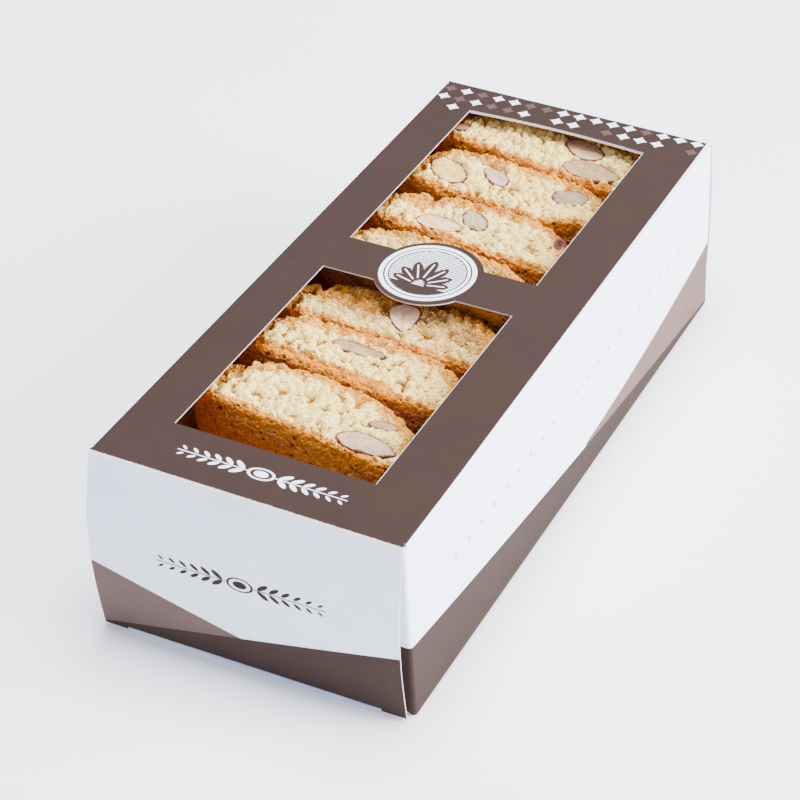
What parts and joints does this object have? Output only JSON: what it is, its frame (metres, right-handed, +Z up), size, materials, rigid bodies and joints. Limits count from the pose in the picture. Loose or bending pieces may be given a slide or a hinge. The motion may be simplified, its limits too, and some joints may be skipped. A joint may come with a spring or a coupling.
{
  "type": "windowed box of biscotti",
  "caption": "Folded board carton with windows in its top, filled with sliced almond biscotti lying on their cut faces.",
  "frame": {"origin": "middle of the carton's underside", "axes": "+Z up, +Y along the carton towards its rear end, +X towards its right side panel"},
  "size_m": [0.1032, 0.2442, 0.0645],
  "materials": {
    "board": "satin printed board in brown, taupe and white, with bare cut edges",
    "baked": "baked dough: pale crumb on the cut faces, golden to brown sugared crust",
    "almond": "cut almond, off-white with a thin brown skin"
  },
  "bodies": {
    "root": {"carton": "board", "biscotto_1": "baked", "biscotto_2": "baked", "biscotto_3": "baked", "biscotto_4": "baked", "biscotto_5": "baked", "biscotto_6": "baked", "biscotto_7": "baked", "almond_1": "almond", "almond_2": "almond", "almond_3": "almond", "almond_4": "almond", "almond_5": "almond", "almond_6": "almond", "almond_7": "almond", "almond_8": "almond", "almond_9": "almond", "almond_10": "almond", "almond_11": "almond", "almond_12": "almond", "almond_13": "almond", "lower_biscotto_1_1": "baked", "lower_biscotto_1_2": "baked", "lower_biscotto_1_3": "baked", "lower_biscotto_1_4": "baked", "lower_biscotto_1_5": "baked", "lower_biscotto_1_6": "baked", "lower_biscotto_1_7": "baked", "lower_biscotto_1_8": "baked", "lower_biscotto_2_1": "baked", "lower_biscotto_2_2": "baked", "lower_biscotto_2_3": "baked", "lower_biscotto_2_4": "baked", "lower_biscotto_2_5": "baked", "lower_biscotto_2_6": "baked", "lower_biscotto_2_7": "baked", "lower_biscotto_2_8": "baked"}
  },
  "joints": []
}
